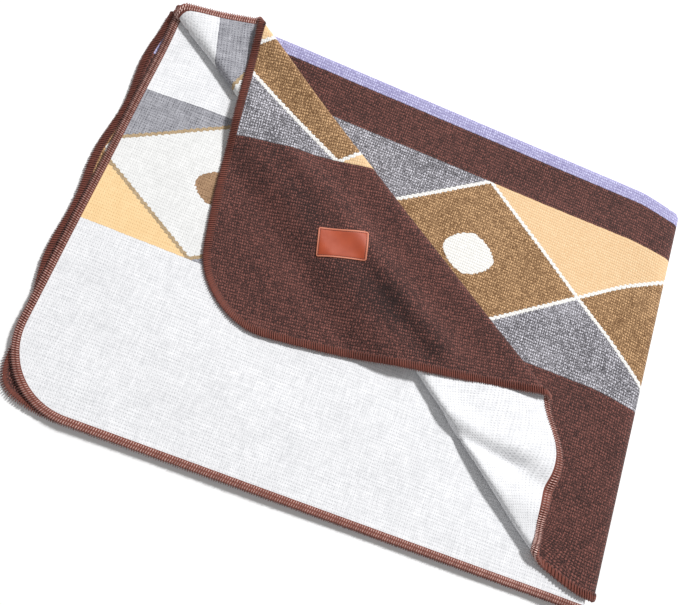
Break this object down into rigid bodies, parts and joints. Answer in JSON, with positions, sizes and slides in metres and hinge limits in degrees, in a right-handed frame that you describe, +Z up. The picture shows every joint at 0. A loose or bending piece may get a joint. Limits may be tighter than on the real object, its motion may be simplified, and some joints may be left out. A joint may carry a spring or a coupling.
{
  "type": "folded alpaca blanket",
  "caption": "Woven alpaca blanket folded in four with one corner turned back, overlocked hem and a small leather label.",
  "frame": {"origin": "centre of the folded blanket's box, on the surface it rests on", "axes": "+X to the fold at the right, along the long side; +Y to the fold at the top; +Z up through the layers"},
  "size_m": [0.9081, 0.6689, 0.044],
  "materials": {
    "blanket": "two-faced woven alpaca, brown with diamonds on one face and pale on the other",
    "label": "tan leather with a stitched border"
  },
  "bodies": {
    "root": {"blanket": "blanket", "label": "label"}
  },
  "joints": []
}
